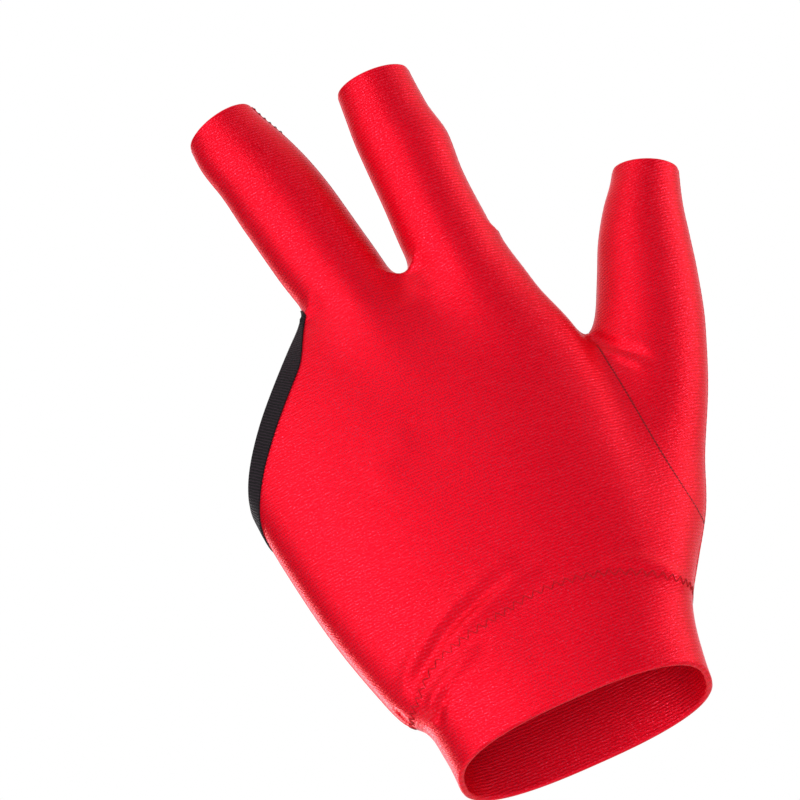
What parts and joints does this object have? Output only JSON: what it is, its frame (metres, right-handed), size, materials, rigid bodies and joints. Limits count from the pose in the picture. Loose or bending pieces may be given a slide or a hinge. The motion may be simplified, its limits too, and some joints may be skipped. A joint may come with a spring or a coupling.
{
  "type": "three-finger billiard glove",
  "caption": "Worn left-hand billiard glove in stretch satin: open-ended sleeves for thumb, index and middle finger, a bound opening for the other fingers and a separate wrist cuff.",
  "frame": {"origin": "middle of the cuff's mouth, where the wrist goes in", "axes": "+Z from the wrist to the fingers, -Y out of the back of the hand, +X to the side of the thumb"},
  "size_m": [0.1351, 0.0512, 0.191],
  "materials": {
    "red_fabric": "satin warp-knit stretch fabric, bright red, soft sheen",
    "black_fabric": "matt black stretch knit",
    "black_binding": "ribbed black elastic tape, zigzag stitched"
  },
  "bodies": {
    "root": {"back_panel": "red_fabric", "thumb_panel": "red_fabric", "cuff": "red_fabric", "palm_panel": "black_fabric", "opening_binding": "black_binding"}
  },
  "joints": []
}
